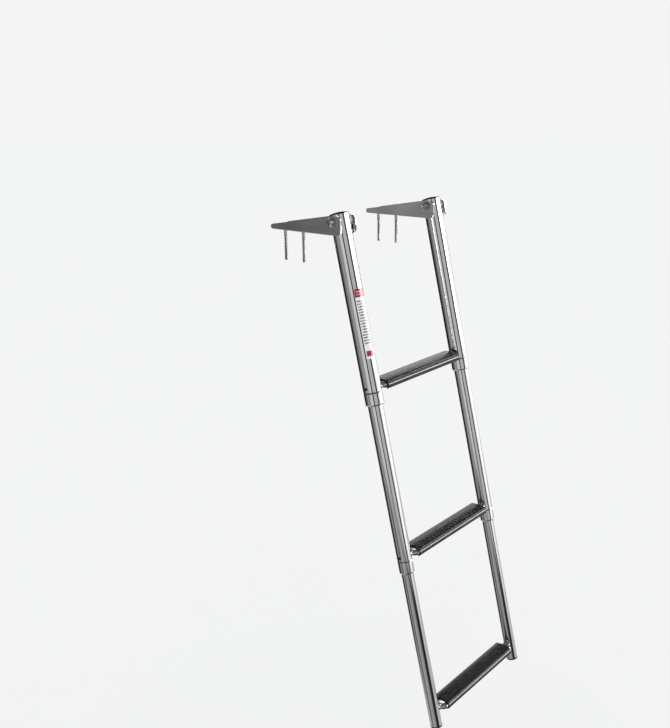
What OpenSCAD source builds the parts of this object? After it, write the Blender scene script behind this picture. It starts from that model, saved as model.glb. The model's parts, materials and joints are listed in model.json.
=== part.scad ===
// Three-step telescoping boarding ladder for a swim platform.
// Two hinge brackets bolt to the deck. Each rail is three tubes that slide
// into one another, and each section carries one step: a welded loop of rod
// with a moulded tread snapped over it. Drawn hanging down and fully extended.
// +Z is up, +X runs along the steps and +Y points inboard over the deck.
// The origin is the centre of the four deck bolts, on the deck's surface.

/* [Rails] */
// Distance between the two rails, centre to centre
rail_spacing = 260; // [200:1:420]
// Angle of the rails from upright when the ladder hangs down
lean = 13.5; // [5:0.5:20]
// Outside diameter of the upper tubes
upper_od = 32; // [30:0.5:40]
// Wall of every tube
tube_wall = 1.2; // [0.8:0.1:1.5]
// Tube above the pivot, up to the cap
tube_above_pivot = 11; // [9:0.5:13]
// Tube below the lowest step, down to the foot plug
tube_below_step = 28; // [15:1:60]

/* [Steps] */
// Distance along the rail from the pivot to the upper step
upper_step_at = 280; // [220:1:350]
// Distance along the rail from the upper step to the middle step
middle_step_drop = 298; // [230:1:360]
// Distance along the rail from the middle step to the lower step
lower_step_drop = 286; // [230:1:345]
// Diameter of the step rod
rod_d = 10; // [8:0.5:12]
// Depth of the step loop between the centres of its two long sides
loop_depth = 21; // [17:0.5:30]
// Bend radius of the loop's corners, to the middle of the rod
loop_bend = 9; // [6.5:0.5:9]
// Gap between the tread's ends and the upper tubes
tread_end_gap = 8; // [3:0.5:14]
// Wall of the tread where it wraps round the rods
tread_wall = 2; // [1.5:0.1:3]
// Thickness of the tread's plate at its middle
tread_plate = 4.7; // [4:0.1:7]
// Height that the tread's middle stands above its edges
tread_crown = 1.8; // [1:0.1:3]
// Number of grooves along the tread
tread_grooves = 7; // [3:2:9]

/* [Sliding joints] */
// Room between the upper and middle tubes, all round, for the guide bush
upper_bush_room = 1.8; // [1.2:0.1:3]
// Room between the middle and lower tubes, all round
lower_bush_room = 1.3; // [1:0.1:2]
// Length of the steel collar under each outer tube
collar_length = 23; // [15:0.5:35]
// Gap along the rail from a step's rod to the collar under it
rod_to_collar = 2; // [1.5:0.5:7]
// Height that the guide bush reaches above the tube's end
bush_above_collar = 11; // [9:0.5:20]
// Length of the stop ring on the top of each inner tube
stop_length = 6; // [4:0.5:12]
// Diameter of the snap button on the guide bush
button_d = 4.6; // [3:0.2:6]

/* [Hinge brackets] */
// Gap between the bracket's base and the tube that is folded over it
fold_gap = 3.5; // [1:0.5:10]
// Length of the bracket inboard of its last bolt
tip_past_bolt = 14; // [11:0.5:60]
// Length of the bracket outboard of the pivot
bracket_overhang = 18; // [12:0.5:20]
// Thickness of the bracket's sheet
bracket_sheet = 2.5; // [2:0.1:3]
// Height of the bracket at its inboard tip
bracket_tip_height = 8.5; // [7:0.5:12]
// Cheek left round the rim of the pivot washer
cheek_margin = 1.5; // [1:0.1:3]
// Gap between the upper tube's side and the bracket's cheek
cheek_gap = 3; // [2.5:0.1:5]
// Diameter of the pivot bolt
pivot_bolt_d = 8; // [6:0.5:10]

/* [Deck bolts] */
// Diameter of the deck bolts
deck_bolt_d = 6; // [5:1:8]
// Length of the deck bolts below the bracket
deck_bolt_length = 55; // [25:1:90]
// Distance from the pivot to the first deck bolt
first_bolt_at = 82; // [70:1:100]
// Distance between the two deck bolts of a bracket
bolt_spacing = 42; // [25:1:50]

/* [Label] */
// Distance along the rail from the pivot to the label's top
label_at = 113; // [60:1:120]
// Length of the label
label_length = 117; // [40:1:125]
// Width of the label round the tube
label_width = 24; // [8:1:30]

/* [Hidden] */
$fn = 96;
left = -1;
right = 1;
eps = 0.5;             // how far a cutting shape runs past what it cuts
seat_gap = 0.02;       // between pieces that sit against each other
press_gap = 0.05;      // between a piece and the bore it is pressed into
slide_gap = 0.08;      // running fit of a tube in its bush, and of the sleeve on its bolt
stop_gap = 0.3;        // between a stop ring and the bush it comes down on
rod_gap = 0.1;         // between the tread and the rod it snaps over

middle_od = upper_od - 2 * (tube_wall + upper_bush_room);
lower_od = middle_od - 2 * (tube_wall + lower_bush_room);
step_to_collar = rod_d / 2 + rod_to_collar;
upper_end = upper_step_at + step_to_collar;          // where the upper tubes end
middle_step_at = upper_step_at + middle_step_drop;
middle_end = middle_step_at + step_to_collar;        // where the middle tubes end
lower_step_at = middle_step_at + lower_step_drop;
lower_end = lower_step_at + tube_below_step;         // where the lower tubes end
inner_start = -(bush_above_collar + stop_gap + stop_length); // inner tube's top from its collar
pivot_y = -(first_bolt_at + bolt_spacing / 2);

pivot_height = bracket_sheet + fold_gap + upper_od / 2;
bracket_reach = first_bolt_at + bolt_spacing + tip_past_bolt; // inboard of the pivot
cheek_inside = upper_od / 2 + cheek_gap;
cheek_outside = cheek_inside + bracket_sheet;
sheet_bend = bracket_sheet;                          // outside radius of the bracket's folds
tip_round = bracket_tip_height * 0.45;               // radius of the bracket's inboard tip
nose_round = 6;                                      // radius of its outboard corners
tube_rest_gap = 0.4;                                 // between the hanging tube and the base
base_start = upper_od / 2 / cos(lean) - (pivot_height - bracket_sheet) * tan(lean)
    + tube_rest_gap;                                 // the base stops the tube at its lean
bolt_clearance = 0.2;                                // radial, round every bolt

sleeve_wall = 1.4;
sleeve_r = pivot_bolt_d / 2 + slide_gap + sleeve_wall;
sleeve_half = upper_od / 2 + 0.4;
thrust_gap = 0.06;
thrust_r = pivot_bolt_d + 1;
washer_t = 1.6;
washer_r = pivot_bolt_d;
cheek_above_pivot = washer_r + cheek_margin;
head_r = pivot_bolt_d * 0.875;
head_h = pivot_bolt_d * 0.55;
head_rim = 1;
nut_across = pivot_bolt_d * 1.625;
nut_h = pivot_bolt_d * 0.8;
bolt_end = 2;                                        // thread showing past the nut
hex_key = pivot_bolt_d * 0.625;

cap_rim = 1.2;
cap_dome = 2.3;
cap_clear = 1.32;                                    // between the cap's spigot and the sleeve
cap_spigot = tube_above_pivot - sleeve_r - cap_clear;
plug_rim = 3;
plug_spigot = 12;
plug_round = 1.4;

collar_chamfer = 2;
collar_groove = 0.5;
collar_lip = 2;                                      // turned-in rim that holds the bush
button_below_top = 4;                                // button's centre from the bush's top
button_proud = 0.8;

loop_half = rail_spacing / 2;
loop_corner = min(loop_bend, loop_depth / 2 - eps);
tread_half = loop_half - upper_od / 2 - tread_end_gap;
groove_pitch = 3.6;
groove_w = 1.3;
groove_d = 0.7;
tread_edge = loop_depth / 2 + rod_d / 2;             // half width of the crowned plate
lip_return = 1.8;                                    // how far a lip hooks under its rod
bead_r = 2.2;
bead_half = 4.5;
bead_out = 1.6;                                      // bead's centre from the tube's side
bead_sink = 0.6;                                     // and below the rod's upper edge
label_t = 0.15;
label_facing = 266;                                  // compass angle it faces, from +X

module rails_frame() { // s along the rail is -Z here, with the pivot at the origin
    translate([0, pivot_y, pivot_height]) rotate([-lean, 0, 0]) children();
}
module on_rail(side, s) {
    rails_frame() translate([side * rail_spacing / 2, 0, -s]) children();
}
module at_step(s) { // level again, at the middle of a step
    rails_frame() translate([0, 0, -s]) rotate([lean, 0, 0]) children();
}
module at_pivot(side) { // X runs outboard from the rail's middle, on the pivot's axis
    translate([side * rail_spacing / 2, pivot_y, pivot_height])
        mirror([side < 0 ? 1 : 0, 0, 0]) children();
}
module along_x(from, to, r) {
    translate([from, 0, 0]) rotate([0, 90, 0]) cylinder(r = r, h = to - from);
}
function arc(c, r, a0, a1, n = 10) =
    [for (i = [0:n]) c + r * [cos(a0 + (a1 - a0) * i / n), sin(a0 + (a1 - a0) * i / n)]];

module cheek_outline() { // seen from the side, the pivot at the origin
    top = cheek_above_pivot;
    slope = atan((pivot_height + top - bracket_tip_height) / bracket_reach);
    polygon(concat(
        arc([-bracket_overhang + nose_round, top - nose_round], nose_round, 180, 90),
        arc([bracket_reach - tip_round, bracket_tip_height - pivot_height - tip_round],
            tip_round, 90 - slope, 0),
        arc([bracket_reach - tip_round, tip_round - pivot_height], tip_round, 0, -90),
        arc([-bracket_overhang + 2 * nose_round, 2 * nose_round - pivot_height],
            2 * nose_round, 270, 180)));
}
module channel_section() { // across the bracket, folded up from flat sheet
    w = cheek_outside;
    h = pivot_height + cheek_above_pivot + eps;
    difference() {
        polygon(concat(
            [[-w, h]],
            arc([-w + sheet_bend, sheet_bend], sheet_bend, 180, 270),
            arc([w - sheet_bend, sheet_bend], sheet_bend, 270, 360),
            [[w, h]]));
        translate([-cheek_inside, bracket_sheet]) square([2 * cheek_inside, h]);
    }
}
module hinge_bracket(side) {
    length = bracket_overhang + bracket_reach;
    color("lightslategray") translate([side * rail_spacing / 2, 0, 0]) difference() {
        intersection() {
            translate([0, pivot_y + bracket_reach + eps, 0]) rotate([90, 0, 0])
                linear_extrude(length + 2 * eps) channel_section();
            translate([-cheek_outside - eps, pivot_y, pivot_height]) rotate([90, 0, 90])
                linear_extrude(2 * (cheek_outside + eps)) cheek_outline();
        }
        translate([-cheek_inside, pivot_y - bracket_overhang - eps, -eps])
            cube([2 * cheek_inside, bracket_overhang + base_start + eps, bracket_sheet + 2 * eps]);
        translate([0, pivot_y, pivot_height])
            along_x(-cheek_outside - eps, cheek_outside + eps, pivot_bolt_d / 2 + bolt_clearance);
        for (y = [-bolt_spacing / 2, bolt_spacing / 2]) translate([0, y, 0]) {
            translate([0, 0, -eps])
                cylinder(r = deck_bolt_d / 2 + bolt_clearance, h = bracket_sheet + 2 * eps);
            deck_bolt_head(seat_gap);
        }
    }
}
module deck_bolt_head(gap) { // countersunk, flush with the top of the base
    head = deck_bolt_d * 0.92;
    translate([0, 0, bracket_sheet - head + deck_bolt_d / 2])
        cylinder(r1 = deck_bolt_d / 2 + gap, r2 = head + gap, h = head - deck_bolt_d / 2);
    if (gap > 0) translate([0, 0, bracket_sheet]) cylinder(r = head + gap, h = eps);
}
module deck_bolts() {
    chamfer = deck_bolt_d * 0.13;
    key = deck_bolt_d * 0.33;
    color("silver") for (side = [left, right], y = [-bolt_spacing / 2, bolt_spacing / 2])
        translate([side * rail_spacing / 2, y, 0]) difference() {
            union() {
                deck_bolt_head(0);
                translate([0, 0, -deck_bolt_length + chamfer])
                    cylinder(r = deck_bolt_d / 2, h = deck_bolt_length + bracket_sheet / 2 - chamfer);
                translate([0, 0, -deck_bolt_length])
                    cylinder(r1 = deck_bolt_d / 2 - chamfer, r2 = deck_bolt_d / 2, h = chamfer);
            }
            translate([0, 0, bracket_sheet - key]) cylinder(r = key, h = key + eps, $fn = 6);
        }
}
module pivot_bolt_head() { // low dome with a hexagon socket
    dome_h = head_h - head_rim;
    dome_r = (head_r * head_r + dome_h * dome_h) / 2 / dome_h;
    rotate([0, 90, 0]) difference() {
        rotate_extrude() polygon(concat(
            [[0, 0], [head_r, 0]],
            arc([0, head_h - dome_r], dome_r, acos(head_r / dome_r), 90)));
        translate([0, 0, head_h - hex_key / 2])
            cylinder(r = hex_key / 2 / cos(30), h = hex_key, $fn = 6);
    }
}
module pivot_bolts() {
    seat = cheek_outside + washer_t + 2 * seat_gap;
    color("gainsboro") for (side = [left, right]) at_pivot(side) {
        translate([seat, 0, 0]) pivot_bolt_head();
        along_x(-seat - nut_h - bolt_end, seat + eps, pivot_bolt_d / 2);
    }
}
module pivot_nuts() { // a hexagon with a round collar that holds the locking insert
    seat = cheek_outside + washer_t + 2 * seat_gap;
    insert_h = nut_h * 0.3;
    color("silver") for (side = [left, right]) at_pivot(side) difference() {
        union() {
            translate([-seat - nut_h + insert_h, 0, 0]) rotate([0, 90, 0])
                cylinder(r = nut_across / 2 / cos(30), h = nut_h - insert_h, $fn = 6);
            along_x(-seat - nut_h, -seat - nut_h + insert_h + eps, nut_across * 0.45);
        }
        along_x(-seat - nut_h - eps, -seat + eps, pivot_bolt_d / 2 + press_gap);
    }
}
module ring_on_pivot(from, thickness, r, bore) {
    difference() {
        along_x(from, from + thickness, r);
        along_x(from - eps, from + thickness + eps, bore);
    }
}
module pivot_washers() {
    bore = pivot_bolt_d / 2 + bolt_clearance;
    color("silver") for (side = [left, right]) at_pivot(side) {
        ring_on_pivot(cheek_outside + seat_gap, washer_t, washer_r, bore);
        ring_on_pivot(-cheek_outside - seat_gap - washer_t, washer_t, washer_r, bore);
    }
}
module thrust_washers() { // nylon, between each cheek and the end of the sleeve
    thickness = cheek_inside - sleeve_half - thrust_gap - seat_gap;
    bore = pivot_bolt_d / 2 + bolt_clearance;
    color("whitesmoke") for (side = [left, right]) at_pivot(side) {
        ring_on_pivot(sleeve_half + thrust_gap, thickness, thrust_r, bore);
        ring_on_pivot(-sleeve_half - thrust_gap - thickness, thickness, thrust_r, bore);
    }
}
module pivot_sleeves() {
    color("silver") for (side = [left, right]) at_pivot(side)
        ring_on_pivot(-sleeve_half, 2 * sleeve_half, sleeve_r, pivot_bolt_d / 2 + slide_gap);
}

module pipe(od, from, to) {
    difference() {
        translate([0, 0, -to]) cylinder(d = od, h = to - from);
        translate([0, 0, -to - eps]) cylinder(d = od - 2 * tube_wall, h = to - from + 2 * eps);
    }
}
module button_hole(side, end) {
    translate([0, 0, -(end - bush_above_collar + button_below_top)])
        rotate([0, side * 90, 0]) cylinder(d = button_d + 2 * press_gap, h = upper_od);
}
module upper_rail(side) {
    color("gainsboro") on_rail(side, 0) difference() {
        pipe(upper_od, -tube_above_pivot, upper_end);
        along_x(-upper_od, upper_od, sleeve_r + press_gap);
        button_hole(side, upper_end);
    }
}
module middle_rail(side) {
    color("gainsboro") on_rail(side, 0) difference() {
        pipe(middle_od, upper_end + inner_start, middle_end);
        button_hole(side, middle_end);
    }
}
module lower_rail(side) {
    color("gainsboro") on_rail(side, 0) pipe(lower_od, middle_end + inner_start, lower_end);
}
module top_cap(side) { // domed plug in the tube's upper end
    dome_r = (upper_od * upper_od / 4 + cap_dome * cap_dome) / 2 / cap_dome;
    color("#161616") on_rail(side, -tube_above_pivot - seat_gap) {
        translate([0, 0, -cap_spigot])
            cylinder(d = upper_od - 2 * tube_wall - 2 * press_gap, h = cap_spigot + eps);
        cylinder(d = upper_od, h = cap_rim);
        intersection() {
            translate([0, 0, cap_rim + cap_dome - dome_r]) sphere(r = dome_r);
            cylinder(d = upper_od, h = cap_rim + cap_dome);
        }
    }
}
module foot_plug(side) {
    r = lower_od / 2;
    spigot_r = r - tube_wall - press_gap;
    color("#161616") on_rail(side, lower_end + seat_gap) rotate_extrude() polygon(concat(
        [[0, plug_spigot], [spigot_r, plug_spigot], [spigot_r, 0], [r, 0]],
        arc([r - plug_round, plug_round - plug_rim], plug_round, 0, -90),
        [[0, -plug_rim]]));
}
module collar(side, end, od, inner_od) { // ferrule under a tube's end, its rim turned in
    r = od / 2;
    bore = r - tube_wall + press_gap;
    lip = inner_od / 2 + 4 * slide_gap;
    color("silver") on_rail(side, end + seat_gap) rotate_extrude() polygon([
        [bore, 0], [r - collar_groove, 0], [r, -collar_groove],
        [r, collar_chamfer - collar_length], [r - collar_chamfer / 2, -collar_length],
        [lip, -collar_length], [lip, collar_lip - collar_length],
        [bore, collar_lip - collar_length]]);
}
module guide_bush(side, end, od, inner_od) { // nylon, held by its snap button and the collar
    r = od / 2 - tube_wall - press_gap;
    bottom = collar_length - collar_lip - seat_gap;
    color("#202020") on_rail(side, end) difference() {
        union() {
            translate([0, 0, -bottom]) cylinder(r = r, h = bottom + bush_above_collar);
            translate([0, 0, bush_above_collar - button_below_top]) rotate([0, side * 90, 0])
                cylinder(d = button_d, h = od / 2 + button_proud);
        }
        translate([0, 0, -bottom - eps])
            cylinder(r = inner_od / 2 + slide_gap, h = bottom + bush_above_collar + 2 * eps);
    }
}
module stop_ring(side, end, od, inner_od) { // on the inner tube's top, caught by the bush
    color("silver") on_rail(side, end + inner_start) translate([0, 0, -stop_length]) difference() {
        cylinder(r = od / 2 - tube_wall - slide_gap, h = stop_length);
        translate([0, 0, -eps])
            cylinder(r = inner_od / 2 + seat_gap, h = stop_length + 2 * eps);
    }
}

module loop_bar(half, x, y, along) { // one straight run of the step loop
    translate([x, y, 0]) rotate(along == "x" ? [0, 90, 0] : [90, 0, 0])
        cylinder(d = rod_d, h = 2 * half, center = true);
}
module step_rod(s, od) { // closed loop of rod between the two rails
    end_x = loop_half - od / 2 - rod_d / 2 - seat_gap;
    side_y = loop_depth / 2;
    color("gainsboro") at_step(s) union() {
        for (k = [-1, 1]) {
            loop_bar(end_x - loop_corner, 0, k * side_y, "x");
            loop_bar(side_y - loop_corner, k * end_x, 0, "y");
        }
        for (q = [0:3]) mirror([q % 2, 0, 0]) mirror([0, q > 1 ? 1 : 0, 0])
            translate([end_x - loop_corner, side_y - loop_corner, 0]) rotate_extrude(angle = 90)
                translate([loop_corner, 0]) circle(d = rod_d);
    }
}
module tread_section() { // across the step: X is the depth and Y is up, between the rods
    rod_r = rod_d / 2;
    under = rod_r + rod_gap;
    top = under + tread_plate;
    crown_r = (tread_edge * tread_edge + tread_crown * tread_crown) / 2 / tread_crown;
    side_y = loop_depth / 2;
    difference() {
        union() {
            intersection() {
                translate([0, top - crown_r]) circle(r = crown_r);
                translate([-tread_edge, 0]) square([2 * tread_edge, top]);
            }
            for (k = [-1, 1]) translate([k * side_y, 0]) circle(r = rod_r + rod_gap + tread_wall);
        }
        for (k = [-1, 1]) translate([k * side_y, 0]) circle(r = rod_r + rod_gap);
        translate([-side_y, -eps]) square([2 * side_y, under + eps]);
        translate([-side_y - lip_return, -2 * rod_d])
            square([2 * (side_y + lip_return), 2 * rod_d]);
        for (i = [0:tread_grooves - 1]) {
            x = (i - (tread_grooves - 1) / 2) * groove_pitch;
            floor_y = top - crown_r + sqrt(crown_r * crown_r - x * x) - groove_d;
            translate([x - groove_w / 2, floor_y]) square([groove_w, rod_d]);
        }
    }
}
module tread(s) {
    color("#161616") at_step(s) translate([-tread_half, 0, 0]) rotate([90, 0, 90])
        linear_extrude(2 * tread_half) tread_section();
}
module weld_bead(s, od) { // fillets above and below the rod, where the loop meets the tube
    bead_x = loop_half - od / 2 - bead_out;
    bead_z = rod_d / 2 - bead_sink;
    color("darkgray") for (side = [left, right], up = [-1, 1]) difference() {
        at_step(s) translate([side * bead_x, 0, up * bead_z]) {
            rotate([90, 0, 0]) cylinder(r = bead_r, h = 2 * bead_half, center = true);
            for (k = [-1, 1]) translate([0, k * bead_half, 0]) sphere(r = bead_r);
        }
        on_rail(side, s + rod_d * 2) cylinder(d = od + 2 * seat_gap, h = rod_d * 4);
        at_step(s) loop_bar(rod_d, side * (loop_half - od / 2 - rod_d / 2 - seat_gap), 0, "y");
    }
}
module rail_label() { // thin film on the outboard front of the left upper tube
    turn = label_width / (upper_od / 2) * 180 / PI;
    color("white") on_rail(left, label_at + label_length) rotate([0, 0, label_facing - turn / 2])
        rotate_extrude(angle = turn) translate([upper_od / 2 + seat_gap, 0])
            square([label_t, label_length]);
}

hinge_bracket(left);  // left_hinge_bracket
hinge_bracket(right);  // right_hinge_bracket
deck_bolts();
pivot_bolts();
pivot_nuts();
pivot_washers();
thrust_washers();
pivot_sleeves();
upper_rail(left);  // upper_rail_left
upper_rail(right);  // upper_rail_right
top_cap(left);  // top_cap_left
top_cap(right);  // top_cap_right
collar(left, upper_end, upper_od, middle_od);  // upper_collar_left
collar(right, upper_end, upper_od, middle_od);  // upper_collar_right
guide_bush(left, upper_end, upper_od, middle_od);  // upper_bush_left
guide_bush(right, upper_end, upper_od, middle_od);  // upper_bush_right
step_rod(upper_step_at, upper_od);  // upper_step_rod
tread(upper_step_at);  // upper_tread
weld_bead(upper_step_at, upper_od);  // upper_welds
rail_label();
middle_rail(left);  // middle_rail_left
middle_rail(right);  // middle_rail_right
stop_ring(left, upper_end, upper_od, middle_od);  // middle_stop_left
stop_ring(right, upper_end, upper_od, middle_od);  // middle_stop_right
collar(left, middle_end, middle_od, lower_od);  // middle_collar_left
collar(right, middle_end, middle_od, lower_od);  // middle_collar_right
guide_bush(left, middle_end, middle_od, lower_od);  // middle_bush_left
guide_bush(right, middle_end, middle_od, lower_od);  // middle_bush_right
step_rod(middle_step_at, middle_od);  // middle_step_rod
tread(middle_step_at);  // middle_tread
weld_bead(middle_step_at, middle_od);  // middle_welds
lower_rail(left);  // lower_rail_left
lower_rail(right);  // lower_rail_right
stop_ring(left, middle_end, middle_od, lower_od);  // lower_stop_left
stop_ring(right, middle_end, middle_od, lower_od);  // lower_stop_right
step_rod(lower_step_at, lower_od);  // lower_step_rod
tread(lower_step_at);  // lower_tread
weld_bead(lower_step_at, lower_od);  // lower_welds
foot_plug(left);  // foot_plug_left
foot_plug(right);  // foot_plug_right
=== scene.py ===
import json
import math
from collections import namedtuple

import bmesh
import bpy
from mathutils import Matrix, Vector


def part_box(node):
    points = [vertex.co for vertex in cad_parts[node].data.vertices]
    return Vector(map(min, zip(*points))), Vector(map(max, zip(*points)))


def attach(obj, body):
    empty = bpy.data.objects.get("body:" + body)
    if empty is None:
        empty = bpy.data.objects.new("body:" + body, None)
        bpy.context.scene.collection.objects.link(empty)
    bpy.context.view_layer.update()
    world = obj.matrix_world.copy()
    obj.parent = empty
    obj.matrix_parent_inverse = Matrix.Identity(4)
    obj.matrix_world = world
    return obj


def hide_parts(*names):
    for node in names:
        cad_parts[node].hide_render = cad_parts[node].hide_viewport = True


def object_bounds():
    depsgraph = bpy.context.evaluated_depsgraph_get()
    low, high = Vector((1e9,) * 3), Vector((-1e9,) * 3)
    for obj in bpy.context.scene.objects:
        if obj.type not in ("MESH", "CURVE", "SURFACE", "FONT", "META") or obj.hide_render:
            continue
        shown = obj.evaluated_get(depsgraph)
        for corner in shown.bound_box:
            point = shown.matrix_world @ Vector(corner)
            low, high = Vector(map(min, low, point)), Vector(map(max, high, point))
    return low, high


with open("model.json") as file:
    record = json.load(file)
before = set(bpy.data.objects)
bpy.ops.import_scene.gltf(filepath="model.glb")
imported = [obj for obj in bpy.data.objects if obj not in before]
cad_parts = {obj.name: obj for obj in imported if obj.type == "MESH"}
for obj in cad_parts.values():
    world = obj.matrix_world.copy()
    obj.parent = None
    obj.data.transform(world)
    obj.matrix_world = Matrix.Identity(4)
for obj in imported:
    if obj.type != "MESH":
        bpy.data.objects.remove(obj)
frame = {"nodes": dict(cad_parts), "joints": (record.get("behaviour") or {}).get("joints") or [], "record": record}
cad_low, cad_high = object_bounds()

# ---- Hinge brackets ----
# Each bracket is a long wedge of stainless sheet, folded into a channel and dull polished.
# Its base is bolted to the deck, and its two cheeks carry the pivot bolt at the outboard end.
MM = 0.001
SIDES = {"left": -1, "right": 1}
joints = {joint["name"]: joint for joint in frame["joints"]}
pivot = Vector(joints["fold"]["pos_m"])
sheet = 2.5 * MM
fold_round = 3.0 * MM  # outside radius of the folds
tip_height = 8.5 * MM
tip_round = 3.8 * MM
nose_round = 6.0 * MM
heel_round = 12.0 * MM
base_from_pivot = 12.2 * MM  # the base stops short of the tube
mouth_height = 1.3 * sheet  # the cut there reaches past the folds
pivot_hole = 4.2 * MM
bolt_radius = 3.0 * MM
bolt_head_radius = 5.5 * MM
sink_gap = 0.15 * MM  # round the bolts in the base
sheet_edge = 0.4 * MM  # the tumbled edge of the sheet
crease = math.radians(35)  # sharper corners than this stay crisp
on_axis = 0.001 * MM
sheet_grey = (0.50, 0.51, 0.52)


def middle_of(node):
    """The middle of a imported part's box."""
    low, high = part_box(node)
    return (low + high) / 2


def rounded(corners, steps=5):
    """An outline through corners (x, y, radius), each one rounded by its radius."""
    outline = []
    for i, (x, y, radius) in enumerate(corners):
        here = Vector((x, y))
        if not radius:
            outline.append(here)
            continue
        back = (Vector(corners[i - 1][:2]) - here).normalized()
        ahead = (Vector(corners[(i + 1) % len(corners)][:2]) - here).normalized()
        half = back.angle(ahead) / 2
        centre = here + (back + ahead).normalized() * radius / math.sin(half)
        start = here + back * radius / math.tan(half) - centre
        swing = math.copysign(math.pi - 2 * half, back.x * ahead.y - back.y * ahead.x)
        for k in range(steps + 1):
            outline.append(centre + Matrix.Rotation(-swing * k / steps, 2) @ start)
    return outline


def as_mesh(shape):
    """The mesh of a bmesh solid, its faces turned outwards."""
    bmesh.ops.recalc_face_normals(shape, faces=shape.faces)
    mesh = bpy.data.meshes.new("solid")
    shape.to_mesh(mesh)
    shape.free()
    return mesh


def extruded(outline, start, end, along="Z"):
    """A bar with this outline, running along X, Y or Z."""
    shape = bmesh.new()
    order = {"X": lambda u, v, w: (w, u, v), "Y": lambda u, v, w: (u, w, v), "Z": lambda u, v, w: (u, v, w)}
    rings = [[shape.verts.new(order[along](u, v, w)) for u, v in outline] for w in (start, end)]
    for ring in rings:
        shape.faces.new(ring)
    for k in range(len(outline)):
        shape.faces.new((rings[0][k - 1], rings[0][k], rings[1][k], rings[1][k - 1]))
    return as_mesh(shape)


def turned(outline, sides=96):
    """A solid turned round Z from (radius, height) points, closed on itself or on the axis."""
    shape = bmesh.new()
    rings = []
    for radius, height in outline:
        if radius < on_axis:
            rings.append([shape.verts.new((0, 0, height))] * sides)
            continue
        angles = [2 * math.pi * k / sides for k in range(sides)]
        rings.append([shape.verts.new((radius * math.cos(a), radius * math.sin(a), height)) for a in angles])
    for i, ring in enumerate(rings):
        for k in range(sides):
            corners = dict.fromkeys((rings[i - 1][k - 1], rings[i - 1][k], ring[k], ring[k - 1]))
            if len(corners) > 2:
                shape.faces.new(list(corners))
    return as_mesh(shape)


def together(*placed):
    """One mesh from several, each given as (mesh, place)."""
    shape = bmesh.new()
    for mesh, place in placed:
        copy = mesh.copy()
        copy.transform(place)
        shape.from_mesh(copy)
    return as_mesh(shape)


def combined(body, tool, how):
    """Two solids joined, cut or kept where they meet: UNION, DIFFERENCE or INTERSECT."""
    pair = [bpy.data.objects.new("blank", mesh) for mesh in (body, tool)]
    for blank in pair:
        bpy.context.scene.collection.objects.link(blank)
    cut = pair[0].modifiers.new("cut", "BOOLEAN")
    cut.operation = how
    cut.object = pair[1]
    cut.solver = "EXACT"
    seen = bpy.context.evaluated_depsgraph_get()
    made = bpy.data.meshes.new_from_object(pair[0].evaluated_get(seen))
    for blank in pair:
        bpy.data.objects.remove(blank)
    return made


def fit(name, mesh, place, body, finish, cad_part, soft_edge=0.0):
    """Puts a piece in its place on the ladder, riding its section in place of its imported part."""
    piece = bpy.data.objects.new(name, mesh)
    bpy.context.scene.collection.objects.link(piece)
    piece.matrix_world = place
    mesh.materials.clear()
    mesh.materials.append(finish)
    if not mesh.has_custom_normals:
        mesh.shade_smooth()
        mesh.set_sharp_from_angle(angle=crease)
        if soft_edge:
            edge = piece.modifiers.new("soft edge", "BEVEL")
            edge.width = soft_edge
            edge.segments = 2
            edge.limit_method = "ANGLE"
            edge.angle_limit = crease
        level = piece.modifiers.new("level faces", "WEIGHTED_NORMAL")
        level.keep_sharp = not soft_edge
    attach(piece, body)
    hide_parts(cad_part)


def new_finish(name, colour, roughness, metallic=0.0):
    """A finish with its even colour and gloss set on the shader, and that shader."""
    made = bpy.data.materials.new(name)
    made.use_nodes = True
    shader = made.node_tree.nodes["Principled BSDF"]
    shader.inputs["Base Color"].default_value = (*colour, 1)
    shader.inputs["Roughness"].default_value = roughness
    shader.inputs["Metallic"].default_value = metallic
    return made, shader


def node(tree, kind, inputs, **settings):
    """Adds a node, sets its settings, and sets or links its inputs."""
    made = tree.nodes.new("ShaderNode" + kind)
    for name, value in settings.items():
        setattr(made, name, value)
    for name, value in inputs.items():
        if isinstance(value, bpy.types.NodeSocket):
            tree.links.new(value, made.inputs[name])
        else:
            made.inputs[name].default_value = value
    return made


def pattern(shader, per_metre, detail=2.0):
    """Noise in a piece's own axes, so many grains to the metre along each."""
    tree = shader.id_data
    axes = node(tree, "TexCoord", {}).outputs["Object"]
    spread = node(tree, "Mapping", {"Vector": axes, "Scale": per_metre}).outputs["Vector"]
    return node(tree, "TexNoise", {"Vector": spread, "Scale": 1.0, "Detail": detail}).outputs["Fac"]


def dull(shader, grain, low, high):
    """Lets the roughness follow a grain, between low and high."""
    tree = shader.id_data
    limits = {"Value": grain, "From Min": 0.3, "From Max": 0.7, "To Min": low, "To Max": high}
    tree.links.new(node(tree, "MapRange", limits).outputs["Result"], shader.inputs["Roughness"])


def tint(shader, grain, dark, light):
    """Lets the colour follow a grain, from dark to light."""
    tree = shader.id_data
    ramp = node(tree, "ValToRGB", {"Fac": grain})
    for stop, place, colour in zip(ramp.color_ramp.elements, (0.35, 0.65), (dark, light)):
        stop.position = place
        stop.color = (*colour, 1)
    tree.links.new(ramp.outputs["Color"], shader.inputs["Base Color"])


def emboss(shader, grain, depth):
    """Raises a grain from the surface, on top of any that is there already."""
    tree = shader.id_data
    bump = node(tree, "Bump", {"Height": grain, "Distance": depth})
    for link in shader.inputs["Normal"].links:
        tree.links.new(link.from_socket, bump.inputs["Normal"])
    tree.links.new(bump.outputs["Normal"], shader.inputs["Normal"])


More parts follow.
